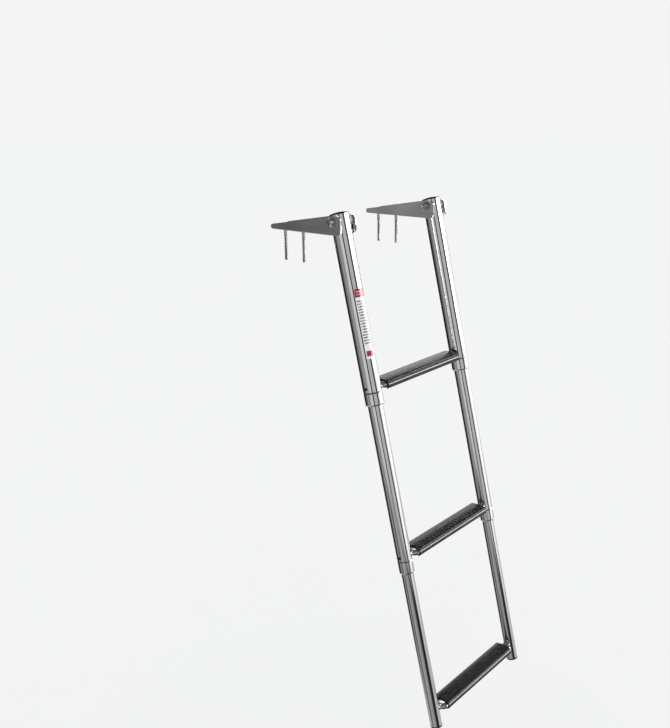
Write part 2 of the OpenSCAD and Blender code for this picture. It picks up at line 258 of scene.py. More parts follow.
def dull_polished_sheet():
    """Stainless sheet, polished by belt along its length and then tumbled."""
    made, shader = new_finish("dull_polished_sheet", sheet_grey, 0.17, metallic=1.0)
    belt_lines = pattern(shader, (2400, 55, 2400), detail=4.0)
    handling = pattern(shader, (38, 22, 38), detail=5.0)
    tint(shader, handling, (0.44, 0.45, 0.46), (0.56, 0.565, 0.57))
    dull(shader, belt_lines, 0.12, 0.22)
    emboss(shader, belt_lines, 0.012 * MM)
    emboss(shader, handling, 0.05 * MM)
    return made


def hinge_bracket(node_name):
    """The channel folded from sheet, trimmed to its wedge, with its holes."""
    low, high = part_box(node_name)
    half = (high.x - low.x) / 2
    inside = half - sheet
    beyond = half + sheet
    top = high.z
    channel = extruded(rounded([
        (-half, top + sheet, 0), (-half, 0, fold_round), (half, 0, fold_round), (half, top + sheet, 0),
        (inside, top + sheet, 0), (inside, sheet, fold_round - sheet),
        (-inside, sheet, fold_round - sheet), (-inside, top + sheet, 0)]), low.y - sheet, high.y + sheet, "Y")
    wedge = extruded(rounded([
        (low.y, top, nose_round), (pivot.y, top, 0), (high.y, tip_height, tip_round),
        (high.y, 0, tip_round), (low.y, 0, heel_round)], steps=9), -beyond, beyond, "X")
    base_end = pivot.y + base_from_pivot
    mouth = extruded([(-inside, low.y - sheet), (inside, low.y - sheet),
                      (inside, base_end), (-inside, base_end)], -sheet, mouth_height)
    pin = turned([(0, -beyond), (pivot_hole, -beyond), (pivot_hole, beyond), (0, beyond)], sides=48)
    pin_place = Matrix.Translation((0, pivot.y, pivot.z)) @ Matrix.Rotation(math.pi / 2, 4, "Y")
    holes = [(bolt_sink, Matrix.Translation((0, y, 0))) for y in bolt_rows]
    cutters = together((mouth, Matrix()), (pin, pin_place), *holes)
    return combined(combined(channel, wedge, "INTERSECT"), cutters, "DIFFERENCE")


# The sheet is countersunk for the four deck bolts, so that their heads lie flush in the base.
mount = next(m for m in frame["record"]["mounts"] if m["name"] == "deck_studs")
bolt_rows = [side * mount["dims"]["spacing_y_mm"] * MM / 2 for side in (-1, 1)]
sink_bottom = sheet - (bolt_head_radius - bolt_radius)
bolt_sink = turned([
    (0, -sheet), (bolt_radius + sink_gap, -sheet), (bolt_radius + sink_gap, sink_bottom),
    (bolt_head_radius + sink_gap, sheet), (bolt_head_radius + sink_gap, 2 * sheet), (0, 2 * sheet)], sides=48)

bracket_steel = dull_polished_sheet()
for side in SIDES:
    cad_bracket = f"{side}_hinge_bracket"
    place = Matrix.Translation((middle_of(cad_bracket).x, 0, 0))
    fit(f"{side}_bracket", hinge_bracket(cad_bracket), place, "brackets", bracket_steel,
        cad_bracket, soft_edge=sheet_edge)


# ---- Deck bolts ----
# Four countersunk stainless bolts with hexagon sockets go down through the deck, two to a bracket.
# Their threads are rolled, with a plain shank under the head and a chamfered end.
deck_bolt_end = -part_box("deck_bolts")[0].z
plain_shank = 12.0 * MM
deck_pitch = 1.0 * MM
end_chamfer = 0.8 * MM
deck_key = 4.0 * MM  # across the flats of the socket
key_depth = 2.0 * MM
head_edge = 0.15 * MM
neck_round = 0.3 * MM  # under the head
thread_depth = 0.54  # of the pitch


def threaded(radius, pitch, start, end, chamfer, sides=24):
    """A threaded bar along Z whose groove winds round it, narrowed at its far end."""
    steps_per_turn = 6
    depth = thread_depth * pitch
    rows = round(abs(end - start) / pitch * steps_per_turn)
    shape = bmesh.new()
    rings = []
    for row in range(rows + 1):
        height = start + (end - start) * row / rows
        ring = []
        for k in range(sides):
            turn = (row / steps_per_turn + k / sides) % 1.0
            groove = depth * (1 - abs(2 * turn - 1)) * min(1.0, row / steps_per_turn)
            reach = min(radius - groove, radius - depth - chamfer + abs(end - height) + chamfer / 2)
            angle = 2 * math.pi * k / sides
            ring.append(shape.verts.new((reach * math.cos(angle), reach * math.sin(angle), height)))
        rings.append(ring)
    for lower, upper in zip(rings, rings[1:]):
        for k in range(sides):
            shape.faces.new((lower[k - 1], lower[k], upper[k], upper[k - 1]))
    for ring in (rings[0], rings[-1]):
        shape.faces.new(ring)
    return as_mesh(shape)


def hexagon(across_flats, turn=0.0):
    """A six-sided outline of this size across its flats."""
    radius = across_flats / 2 / math.cos(math.pi / 6)
    angles = [turn + math.pi / 3 * k for k in range(6)]
    return [(radius * math.cos(a), radius * math.sin(a)) for a in angles]


def bright_fastener():
    """Cold-headed stainless, bright and a little uneven from the tools."""
    made, shader = new_finish("bright_fastener_steel", (0.66, 0.665, 0.67), 0.2, metallic=1.0)
    tooling = pattern(shader, (420, 420, 420), detail=3.0)
    dull(shader, tooling, 0.12, 0.28)
    tint(shader, pattern(shader, (90, 90, 90), detail=3.0), (0.58, 0.585, 0.59), (0.72, 0.72, 0.715))
    emboss(shader, tooling, 0.02 * MM)
    return made


head = turned(rounded([
    (0, sheet, 0), (bolt_head_radius, sheet, head_edge), (bolt_radius, sink_bottom, neck_round),
    (bolt_radius, -plain_shank, 0), (0, -plain_shank, 0)], steps=3), sides=48)
socket = extruded(hexagon(deck_key), sheet - key_depth, 2 * sheet)
deck_thread = threaded(bolt_radius, deck_pitch, -plain_shank + deck_pitch, -deck_bolt_end, end_chamfer)
deck_bolt = together((combined(head, socket, "DIFFERENCE"), Matrix()), (deck_thread, Matrix()))
bolt_columns = [middle_of(f"{side}_hinge_bracket").x for side in SIDES]
bolt_places = [Matrix.Translation((x, y, 0)) for x in bolt_columns for y in bolt_rows]
fastener_steel = bright_fastener()
fit("deck_bolt_set", together(*[(deck_bolt, place) for place in bolt_places]), Matrix(), "brackets",
    fastener_steel, "deck_bolts")


# ---- Upper rails ----
# The two upper tubes are drawn stainless, mirror polished along their length. Each is drilled
# across for the pivot sleeve, and low on its outboard side for the button of its guide bush.
down_rail = -Vector(joints["middle_slide"]["axis"]).normalized()
across = Vector((1, 0, 0))
steel_white = (0.80, 0.81, 0.82)
cut_edge = 0.3 * MM  # the tube's ends are deburred
edge_steps = 4
sleeve_radius = 5.5 * MM
button_radius = 2.3 * MM
button_below_top = 4.0 * MM  # from the top of the bush to the middle of its button
hole_gap = 0.05 * MM
columns = 144  # flats round a tube
patch_across = 1.35  # half the square of wall that holds a hole, in radii of the hole
patch_along = 1.4
patch_rings = (0.45, 0.8, 1.0)  # where its rings of corners lie, from the square in to the hole
Round = namedtuple("Round", "start end inner outer")


def rail_place(node, along=0.0):
    """A place on a part's rail, with Z down the tube and X across the ladder."""
    turn = Matrix((across, down_rail.cross(across), down_rail)).transposed().to_4x4()
    start = Vector((middle_of(node).x, pivot.y, pivot.z))
    return Matrix.Translation(start + along * down_rail) @ turn


def measured(node):
    """Where a round part starts and ends down its rail, and its inner and outer radius."""
    to_rail = rail_place(node).inverted()
    points = [to_rail @ corner.co for corner in frame["nodes"][node].data.vertices]
    heights = [point.z for point in points]
    radii = [point.xy.length for point in points]
    return Round(min(heights), max(heights), min(radii), max(radii))


def drilled_tube(start, end, inner, outer, holes=()):
    """A tube along Z with round edges. Each hole is (side along X, place along Z, radius)."""
    outline = []  # (radius, height, facing out, facing along, rows of the holes' squares)
    grids = []  # the square of wall that holds each hole
    for hole, (side, height, radius) in enumerate(holes):
        half = math.ceil(math.degrees(math.asin(patch_across * radius / inner)) * columns / 360)
        grids.append((hole, side, height, radius, half, patch_along * radius))

    def wall(radius, facing, downwards):
        rows = {}
        for hole, _, height, _, half, reach in grids:
            for j in range(-half, half + 1):
                rows.setdefault(round(height + reach * j / half, 9), {})[hole] = j
        for height in sorted(rows, reverse=not downwards):
            outline.append((radius, height, facing, 0.0, rows[height]))

    def corner(radius, height, first):
        for k in range(edge_steps + 1):
            angle = math.radians(first + 90 * k / edge_steps)
            out, along = math.cos(angle), math.sin(angle)
            outline.append((radius + cut_edge * out, height + cut_edge * along, out, along, {}))

    corner(outer - cut_edge, start + cut_edge, -90)
    wall(outer, 1.0, True)
    corner(outer - cut_edge, end - cut_edge, 0)
    corner(inner + cut_edge, end - cut_edge, 90)
    wall(inner, -1.0, False)
    corner(inner + cut_edge, start + cut_edge, 180)

    shape = bmesh.new()
    facing = {}
    made = {}

    def spot(i, k):
        """The corner of the skin at row i and column k."""
        k %= columns
        if (i, k) not in made:
            radius, height, out, along, _ = outline[i]
            angle = 2 * math.pi * k / columns
            made[i, k] = shape.verts.new((radius * math.cos(angle), radius * math.sin(angle), height))
            facing[made[i, k]] = Vector((out * math.cos(angle), out * math.sin(angle), along))
        return made[i, k]

    def in_hole(i, k):
        """True where a skin's face is left out for a hole."""
        for hole, side, _, _, half, _ in grids:
            first, second = outline[i - 1][4].get(hole), outline[i][4].get(hole)
            offset = (k - (0 if side > 0 else columns // 2) + columns // 2) % columns - columns // 2
            if first is not None and second is not None and -half <= offset < half:
                return True
        return False

    for i in range(len(outline)):
        for k in range(columns):
            if not in_hole(i, k):
                shape.faces.new((spot(i - 1, k), spot(i - 1, k + 1), spot(i, k + 1), spot(i, k)))

    edges_of_holes = []
    for hole, side, height, radius, half, _ in grids:
        middle = 0 if side > 0 else columns // 2
        rims = []
        for skin in (outer, inner):
            rows = {outline[i][4][hole]: i for i in range(len(outline))
                    if outline[i][0] == skin and hole in outline[i][4]}
            walk = [(-half, k) for k in range(-half, half)] + [(j, half) for j in range(-half, half)]
            walk += [(half, -k) for k in range(-half, half)] + [(-j, -half) for j in range(-half, half)]
            frame_ring = [spot(rows[j], middle + k) for j, k in walk]
            if not rims:
                angles = [math.atan2(v.co.z - height, v.co.y) for v in frame_ring]
            rings = [frame_ring]
            for share in patch_rings:
                ring = []
                for rim_corner, angle in zip(frame_ring, angles):
                    y = (1 - share) * rim_corner.co.y + share * radius * math.cos(angle)
                    z = (1 - share) * (rim_corner.co.z - height) + share * radius * math.sin(angle)
                    x = side * math.sqrt(skin * skin - y * y)
                    ring.append(shape.verts.new((x, y, height + z)))
                    way = 1.0 if skin == outer else -1.0
                    facing[ring[-1]] = Vector((x, y, 0)).normalized() * way
                rings.append(ring)
            for outside, within in zip(rings, rings[1:]):
                for k in range(len(angles)):
                    shape.faces.new((outside[k - 1], outside[k], within[k], within[k - 1]))
            rims.append(rings[-1])
        for k in range(len(angles)):
            edges_of_holes.append(shape.faces.new((rims[0][k - 1], rims[0][k], rims[1][k], rims[1][k - 1])))

    shape.verts.index_update()
    shape.faces.index_update()
    bores = {face.index for face in edges_of_holes}
    normals = [facing[v] for v in shape.verts]
    mesh = as_mesh(shape)
    corners = []
    for face in mesh.polygons:
        for v in face.vertices:
            corners.append(face.normal if face.index in bores else normals[v])
    mesh.shade_smooth()
    mesh.normals_split_custom_set(corners)
    return mesh


def mirror_polished_steel():
    """Stainless polished along its length, with fine lines and faint dried drops."""
    made, shader = new_finish("mirror_polished_steel", steel_white, 0.07, metallic=1.0)
    polishing = pattern(shader, (1500, 1500, 6), detail=3.0)
    drops = pattern(shader, (140, 140, 60), detail=4.0)
    tint(shader, drops, (0.76, 0.77, 0.78), (0.82, 0.83, 0.84))
    dull(shader, drops, 0.03, 0.075)
    emboss(shader, polishing, 0.0015 * MM)
    emboss(shader, pattern(shader, (60, 60, 9), detail=2.0), 0.01 * MM)
    return made


polished_steel = mirror_polished_steel()


def button_hole(section, side):
    """The hole for the button of a tube's own guide bush."""
    button_at = measured(f"{section}_bush_{side}").start + button_below_top
    return SIDES[side], button_at, button_radius + hole_gap


def fit_tube(section, side, holes):
    """Puts a section's tube on its rail, drilled with these holes."""
    tube = f"{section}_rail_{side}"
    fit(f"{section}_tube_{side}", drilled_tube(*measured(tube), holes), rail_place(tube),
        f"{section}_section", polished_steel, tube)


sleeve_holes = [(way, 0.0, sleeve_radius + hole_gap) for way in (-1, 1)]
for side in SIDES:
    fit_tube("upper", side, sleeve_holes + [button_hole("upper", side)])


# ---- Pivot sleeves ----
# A turned steel sleeve is pressed across each upper tube, so that it turns on its bolt without
# crushing. Its ends stand a little proud of the tube.
sleeve_half = 16.4 * MM
bolt_bore = 4.08 * MM
turned_edge = 0.25 * MM
seat_gap = 0.02 * MM  # left between pieces that touch


def at_both_pivots(*meshes):
    """The same pieces at the left and the right pivot, with Z outboard."""
    placed = []
    for side, way in SIDES.items():
        column = Matrix.Translation((middle_of(f"{side}_hinge_bracket").x, pivot.y, pivot.z))
        placed += [(mesh, column @ Matrix.Rotation(way * math.pi / 2, 4, "Y")) for mesh in meshes]
    return together(*placed)


def ring(bore, outer, start, end, edge=turned_edge):
    """A ring round Z with rounded edges."""
    corners = [(bore, start, edge), (outer, start, edge), (outer, end, edge), (bore, end, edge)]
    return turned(rounded(corners, steps=3))


sleeve = ring(bolt_bore, sleeve_radius - seat_gap, -sleeve_half, sleeve_half)
fit("pivot_sleeve_pair", at_both_pivots(sleeve), Matrix(), "upper_section", fastener_steel,
    "pivot_sleeves")


# ---- Thrust washers ----
# Natural nylon washers, cut from sheet, keep each tube off the cheeks and take up the side play.
# There are two to a pivot, one on each side of the tube.
thrust_gap = 0.06 * MM
thrust_start = sleeve_half + thrust_gap
thrust_end = 18.98 * MM
thrust_radius = 9.0 * MM
washer_bore = 4.2 * MM


def washer_pair(outer, start, end):
    """Two washers, one on each side of a tube."""
    return ring(washer_bore, outer, start, end), ring(washer_bore, outer, -end, -start)


def natural_nylon():
    """Milky nylon that lets a little light in, faintly marked by the punch."""
    made, shader = new_finish("natural_nylon", (0.84, 0.84, 0.80), 0.45)
    shader.inputs["Subsurface Weight"].default_value = 0.15
    shader.inputs["Subsurface Radius"].default_value = (1.5 * MM, 1.5 * MM, 1.3 * MM)
    punched = pattern(shader, (700, 700, 700), detail=3.0)
    tint(shader, pattern(shader, (150, 150, 150)), (0.80, 0.80, 0.76), (0.87, 0.87, 0.84))
    dull(shader, punched, 0.38, 0.52)
    emboss(shader, punched, 0.02 * MM)
    return made


thrust_rings = washer_pair(thrust_radius, thrust_start, thrust_end)
fit("thrust_washer_set", at_both_pivots(*thrust_rings), Matrix(), "brackets", natural_nylon(),
    "thrust_washers")


# ---- Pivot washers ----
# Plain stainless washers spread the load of the bolt head and the nut over the cheeks. There are
# two to a pivot, one on the outside of each cheek.
cheek_face = (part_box("left_hinge_bracket")[1].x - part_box("left_hinge_bracket")[0].x) / 2
washer_thickness = 1.6 * MM
washer_radius = 8.0 * MM

washer_start = cheek_face + seat_gap
washer_end = washer_start + washer_thickness
washers = washer_pair(washer_radius, washer_start, washer_end)
fit("pivot_washer_set", at_both_pivots(*washers), Matrix(), "brackets", fastener_steel,
    "pivot_washers")


# ---- Pivot bolts ----
# Cold-headed stainless button-head bolts go in from the outboard side. Each has a hexagon socket,
# and its rolled thread shows a little past the nut.
seat = washer_end + seat_gap
pivot_bolt_radius = 4.0 * MM
button_head_radius = 7.0 * MM
button_head_height = 4.4 * MM
button_head_rim = 1.0 * MM
pivot_key = 5.0 * MM
pivot_key_depth = 2.5 * MM
pivot_pitch = 1.25 * MM
nut_height = 6.4 * MM
thread_past_nut = 2.0 * MM


def dome(radius, base, rise, steps=10):
    """The side of a low dome (radius, height), from its rim up to its middle."""
    ball = (radius ** 2 + rise ** 2) / (2 * rise)
    widest = math.asin(radius / ball)
    turns = [widest * k / steps for k in range(steps, -1, -1)]
    return [(ball * math.sin(turn), base + rise - ball + ball * math.cos(turn)) for turn in turns]


head_under = [(0, seat), (button_head_radius - turned_edge, seat), (button_head_radius, seat + turned_edge)]
head_over = dome(button_head_radius, seat + button_head_rim, button_head_height - button_head_rim)
head_top = seat + button_head_height
key_hole = extruded(hexagon(pivot_key), head_top - pivot_key_depth, head_top + button_head_height)
bolt_head = combined(turned(head_under + head_over), key_hole, "DIFFERENCE")
shank = turned([(0, -seat), (pivot_bolt_radius, -seat), (pivot_bolt_radius, seat + turned_edge),
                (0, seat + turned_edge)], sides=48)
bolt_end = -seat - nut_height - thread_past_nut
thread = threaded(pivot_bolt_radius, pivot_pitch, -seat + pivot_pitch, bolt_end, end_chamfer, sides=36)
fit("pivot_bolt_pair", at_both_pivots(bolt_head, shank, thread), Matrix(), "brackets", fastener_steel,
    "pivot_bolts")


# ---- Lock nuts ----
# Cold-formed stainless hexagons with their corners chamfered, and a round collar at the end that
# holds the locking insert.
nut_across = 13.0 * MM
insert_height = 1.92 * MM
insert_radius = 5.85 * MM
insert_round = 1.0 * MM
bore_round = 0.3 * MM
thread_room = 0.05 * MM
chamfer_in = 0.98  # the chamfers start just inside the flats
chamfer_fall = 0.6  # how far they run down, as a share of what they take off a corner

nut_bore = pivot_bolt_radius + thread_room
nut_end = -seat - nut_height
insert_start = nut_end + insert_height
nut_corner = nut_across / 2 / math.cos(math.pi / 6)
corner_cut = nut_corner - nut_across / 2 * chamfer_in
fall = chamfer_fall * corner_cut
nut_turning = turned([
    (nut_bore, -seat), (nut_corner - corner_cut, -seat), (nut_corner + turned_edge, -seat - fall),
    (nut_corner + turned_edge, insert_start + fall), (nut_corner - corner_cut, insert_start),
    (insert_radius, insert_start)]
    + rounded([(insert_radius, nut_end, insert_round), (nut_bore, nut_end, bore_round),
               (nut_bore, insert_start, 0), (insert_radius, insert_start, 0)])[:-2])
nut_bar = extruded(hexagon(nut_across), nut_end - nut_height, 0)
fit("lock_nut_pair", at_both_pivots(combined(nut_turning, nut_bar, "INTERSECT")), Matrix(), "brackets",
    fastener_steel, "pivot_nuts")


# ---- Top caps ----
# Moulded black plastic plugs, slightly domed, are pressed into the upper ends of the upper tubes.
# A rim on each covers the cut end of its tube.
cap_spigot = 4.2 * MM
cap_rim = 1.2 * MM
cap_dome_rise = 2.3 * MM
spigot_gap = 1.25 * MM  # the tube's wall, and room to press the spigot in
moulded_edge = 0.3 * MM


def black_moulding():
    """Black plastic from a fine-grained mould, with a little sheen."""
    made, shader = new_finish("black_moulding", (0.014, 0.014, 0.015), 0.58)
    shader.inputs["Specular IOR Level"].default_value = 0.0
    grain = pattern(shader, (1400, 1400, 1400), detail=3.0)
    tint(shader, pattern(shader, (110, 110, 110), detail=3.0), (0.011, 0.011, 0.012), (0.020, 0.020, 0.021))
    dull(shader, grain, 0.5, 0.66)
    emboss(shader, grain, 0.03 * MM)
    return made


black_plastic = black_moulding()
for side in SIDES:
    cap = f"top_cap_{side}"
    tube = measured(f"upper_rail_{side}")
    spigot_radius = tube.outer - spigot_gap
    outline = [(0, -cap_spigot), (spigot_radius - moulded_edge, -cap_spigot),
               (spigot_radius, moulded_edge - cap_spigot), (spigot_radius, 0), (tube.outer, 0)]
    outline += dome(tube.outer, cap_rim, cap_dome_rise)
    fit(f"{cap}_moulding", turned([(radius, -height) for radius, height in outline]),
        rail_place(cap, tube.start - seat_gap), "upper_section", black_plastic, cap)


# ---- Upper collars ----
# A turned stainless ferrule carries on each tube below its end. Its rim is turned in under the
# guide bush, and a fine groove shows where it meets the tube.
collar_groove = 1.0 * MM
collar_shoulder = 2.4 * MM
shoulder_round = 1.4 * MM
collar_chamfer = 2.0 * MM
chamfer_round = 0.7 * MM
rim_round = 0.4 * MM
lip_thickness = 2.0 * MM
lip_round = 0.3 * MM
lip_heel_round = 0.2 * MM
collar_wall = 1.15 * MM


def fit_collar(section, side):
    """Puts a ferrule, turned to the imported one's length and radii, on a section's tube."""
    collar = f"{section}_collar_{side}"
    start, end, lip, outer = measured(collar)
    bore = outer - collar_wall
    lip_start = end - lip_thickness
    outline = rounded([
        (bore, start, 0), (outer - collar_groove, start, 0), (outer, start + collar_shoulder, shoulder_round),
        (outer, end - collar_chamfer, chamfer_round), (outer - collar_chamfer / 2, end, rim_round),
        (lip, end, lip_round), (lip, lip_start, lip_heel_round), (bore, lip_start, 0)], steps=4)
    fit(f"{section}_ferrule_{side}", turned(outline, sides=columns), rail_place(collar),
        f"{section}_section", polished_steel, collar)


for side in SIDES:
    fit_collar("upper", side)


# ---- Upper guide bushes ----
# A black nylon bush inside each tube's lower end guides the middle tube. It is held by a snap
# button, which shows as a black dot on the outboard side.
button_proud = 0.8 * MM
button_round = 0.7 * MM


def fit_bush(section, side):
    """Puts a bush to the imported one's length in a tube, with its button through the wall."""
    cad_bush = f"{section}_bush_{side}"
    bush = measured(cad_bush)
    tube_radius = measured(f"{section}_collar_{side}").outer
    body = ring(bush.inner, tube_radius - spigot_gap, bush.start, bush.end, moulded_edge)
    button_root = bush.inner + moulded_edge
    button_top = tube_radius + button_proud
    button = turned(rounded([(0, button_root, 0), (button_radius, button_root, 0),
                             (button_radius, button_top, button_round), (0, button_top, 0)]), sides=36)
    outboard = Matrix.Rotation(SIDES[side] * math.pi / 2, 4, "Y")
    button_place = Matrix.Translation((0, 0, bush.start + button_below_top)) @ outboard
    fit(f"{section}_guide_{side}", together((body, Matrix()), (button, button_place)), rail_place(cad_bush),
        f"{section}_section", black_plastic, cad_bush)


for side in SIDES:
    fit_bush("upper", side)


# ---- Upper step loop ----
# Stainless rod is bent into a flat loop, butt welded and polished. Its short sides lie against
# the insides of the two tubes.
rod_radius = 5.0 * MM
loop_corner = 9.0 * MM  # to the middle of the rod
rod_flats = 48


def rod_loop(section):
    """A section's loop, swept round its middle line, about its own middle."""
    low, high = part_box(f"{section}_step_rod")
    half_x = (high.x - low.x) / 2 - rod_radius
    half_y = (high.y - low.y) / 2 - rod_radius
    corners = [(half_x, -half_y), (half_x, half_y), (-half_x, half_y), (-half_x, -half_y)]
    path = rounded([(x, y, loop_corner) for x, y in corners], steps=16)
    shape = bmesh.new()
    rings = []
    for k, spot in enumerate(path):
        travel = (path[(k + 1) % len(path)] - path[k - 1]).normalized()
        outward = Vector((travel.y, -travel.x, 0))
        circle = []
        for j in range(rod_flats):
            angle = 2 * math.pi * j / rod_flats
            offset = outward * math.cos(angle) + Vector((0, 0, 1)) * math.sin(angle)
            circle.append(shape.verts.new(Vector((*spot, 0)) + rod_radius * offset))
        rings.append(circle)
    for k, circle in enumerate(rings):
        for j in range(rod_flats):
            shape.faces.new((rings[k - 1][j - 1], rings[k - 1][j], circle[j], circle[j - 1]))
    return as_mesh(shape)


def polished_rod_steel():
    """Rod polished after bending, a little less even than the tubes."""
    made, shader = new_finish("polished_rod_steel", (0.78, 0.79, 0.80), 0.1, metallic=1.0)
    drawn = pattern(shader, (12, 700, 700), detail=3.0)
    handled = pattern(shader, (70, 120, 120), detail=4.0)
    tint(shader, handled, (0.73, 0.74, 0.75), (0.80, 0.81, 0.82))
    dull(shader, handled, 0.07, 0.16)
    emboss(shader, drawn, 0.006 * MM)
    return made


rod_steel = polished_rod_steel()


def fit_on_step(section, name, mesh, finish, cad_part, soft_edge=0.0):
    """Puts a piece at the middle of a section's step, level."""
    place = Matrix.Translation(middle_of(f"{section}_step_rod"))
    fit(f"{section}_{name}", mesh, place, f"{section}_section", finish,
        f"{section}_{cad_part}", soft_edge)


def fit_loop(section):
    """Puts in the loop of a section's step."""
    fit_on_step(section, "loop", rod_loop(section), rod_steel, "step_rod")


fit_loop("upper")


# ---- Upper tread ----
# The tread is one length of extruded black plastic, cut square. Its edges curl round the two rods
# and snap on, its top is crowned, and seven grooves run along it for grip.
rod_apart = 10.5 * MM  # from the middle of the step to the middle of each rod
hook_inside = 5.1 * MM
hook_outside = 7.1 * MM
hook_end = 1.8 * MM  # how far a hook reaches under its rod
plate_top = 9.8 * MM
crown_radius = 67.6 * MM
plate_edge = 15.5 * MM
grooves_each_side = 3
groove_pitch = 3.6 * MM
groove_width = 1.3 * MM
groove_depth = 0.7 * MM
rib_round = 0.22 * MM
plate_round = 1.0 * MM
cut_end = 0.25 * MM  # the softened edge of the cut ends


def crown(y):
    """The height of the tread's top at a distance from its middle."""
    return plate_top - crown_radius + math.sqrt(crown_radius ** 2 - y ** 2)


def hook(radius, first, last, steps=20):
    """Points round the rod, from one angle to another."""
    turns = [first + (last - first) * k / steps for k in range(steps + 1)]
    return [(rod_apart + radius * math.cos(a), radius * math.sin(a), 0) for a in turns]


def tread_half():
    """One half of the section, from the middle of the top out and down to under the plate."""
    half = []
    for k in range(grooves_each_side + 1):
        middle = k * groove_pitch
        floor = crown(middle) - groove_depth
        near, far = middle - groove_width / 2, middle + groove_width / 2
        if k:
            half += [(near, crown(near), rib_round), (near, floor, rib_round)]
        half += [(far, floor, rib_round), (far, crown(far), rib_round)]
    shoulder = math.acos((plate_edge - rod_apart) / hook_outside)
    half.append((plate_edge, crown(plate_edge), plate_round))
    half += hook(hook_outside, shoulder, -math.acos(hook_end / hook_outside))
    half += hook(hook_inside, -math.acos(hook_end / hook_inside), math.pi / 2)
    return half


def ribbed_plastic():
    """Extruded black plastic with a slight sheen, dusted and scuffed along its ribs."""
    made, shader = new_finish("ribbed_black_plastic", (0.014, 0.0145, 0.016), 0.15)
    drawn = pattern(shader, (30, 900, 900), detail=3.0)
    worn = pattern(shader, (60, 90, 90), detail=4.0)
    tint(shader, worn, (0.012, 0.0125, 0.014), (0.017, 0.0175, 0.019))
    dull(shader, worn, 0.13, 0.17)
    emboss(shader, drawn, 0.004 * MM)
    return made


right_half = tread_half()
left_half = [(-y, z, radius) for y, z, radius in reversed(right_half)]
tread_section = rounded(right_half + left_half, steps=4)
tread_plastic = ribbed_plastic()


def fit_tread(section):
    """Snaps a length of the tread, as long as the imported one, over a section's loop."""
    low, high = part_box(f"{section}_tread")
    cover = extruded(tread_section, (low.x - high.x) / 2, (high.x - low.x) / 2, "X")
    fit_on_step(section, "tread_cover", cover, tread_plastic, "tread", cut_end)


fit_tread("upper")


# ---- Upper welds ----
# The loop is welded to each tube above and below the rod. The beads are short and rippled, and
# they have been brushed clean but not polished.
bead_radius = 2.2 * MM
bead_straight = 4.5 * MM  # half the length before its round ends
bead_out = 1.6 * MM  # from the tube's side to the bead's middle
bead_up = 4.4 * MM
ripple = 1.1 * MM
ripple_depth = 0.06  # of the bead's radius
bead_steps = 60


def weld_bead():
    """One bead lying along Y, with a ripple for each drop of metal."""
    outline = []
    for k in range(bead_steps + 1):
        height = (bead_straight + bead_radius) * (2 * k / bead_steps - 1)
        past = max(0.0, abs(height) - bead_straight)
        radius = math.sqrt(max(0.0, bead_radius ** 2 - past ** 2))
        wave = 1 - ripple_depth + ripple_depth * math.cos(2 * math.pi * height / ripple)
        outline.append((radius * wave, height))
    bead = turned(outline, sides=28)
    bead.transform(Matrix.Rotation(math.pi / 2, 4, "X"))
    return bead


def weld_metal():
    """Brushed weld, uneven and a little straw coloured."""
    made, shader = new_finish("brushed_weld", (0.55, 0.54, 0.51), 0.35, metallic=1.0)
    brushed = pattern(shader, (900, 300, 900), detail=4.0)
    heat = pattern(shader, (180, 180, 180), detail=3.0)
    tint(shader, heat, (0.50, 0.46, 0.41), (0.62, 0.62, 0.61))
    dull(shader, brushed, 0.27, 0.45)
    emboss(shader, heat, 0.12 * MM)
    emboss(shader, brushed, 0.03 * MM)
    return made


bead = weld_bead()
weld_steel = weld_metal()


def fit_welds(section):
    """Puts in the four beads of a step, against the inner sides of its tubes."""
    tube_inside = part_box(f"{section}_rail_right")[0].x
    placed = []
    for way in SIDES.values():
        for up in (-1, 1):
            placed.append((bead, Matrix.Translation((way * (tube_inside - bead_out), 0, up * bead_up))))
    fit_on_step(section, "weld_beads", together(*placed), weld_steel, "welds")


fit_welds("upper")


# ---- Label ----
# A printed film is stuck round the outboard front of the left upper tube. It has plain red blocks
# at its ends and rows of short grey bars between them, with no lettering.
film = 0.15 * MM  # its thickness
film_width = 24.0 * MM
film_facing = math.radians(94)  # round the tube, from +X towards the climber
film_corner = 1.5 * MM
rows = 60  # of faces down the film
lanes = 24  # of faces across it
ink_red = (0.31, 0.022, 0.045)
ink_pale_red = (0.74, 0.40, 0.44)
ink_pink = (0.70, 0.40, 0.43)
ink_grey = (0.035, 0.035, 0.04)
blocks = [  # ink, then from and to across the film, and from and to down it
    (ink_red, 0.0, 0.56, 0.0, 0.12), (ink_pale_red, 0.56, 1.0, 0.0, 0.12),
    (ink_pink, 0.12, 0.48, 0.035, 0.05), (ink_pink, 0.12, 0.40, 0.075, 0.088),
    (ink_red, 0.05, 0.50, 0.885, 0.965)]
bars_area = (0.04, 0.54, 0.15, 0.80)
bars_down = 25.0  # rows of bars to the length of the film
bar_thickness = (0.12, 0.66)  # from and to, as shares of a row
breaks_across = 12.0
break_width = 0.12
bar_share = 0.40  # the noise above which a bar is printed


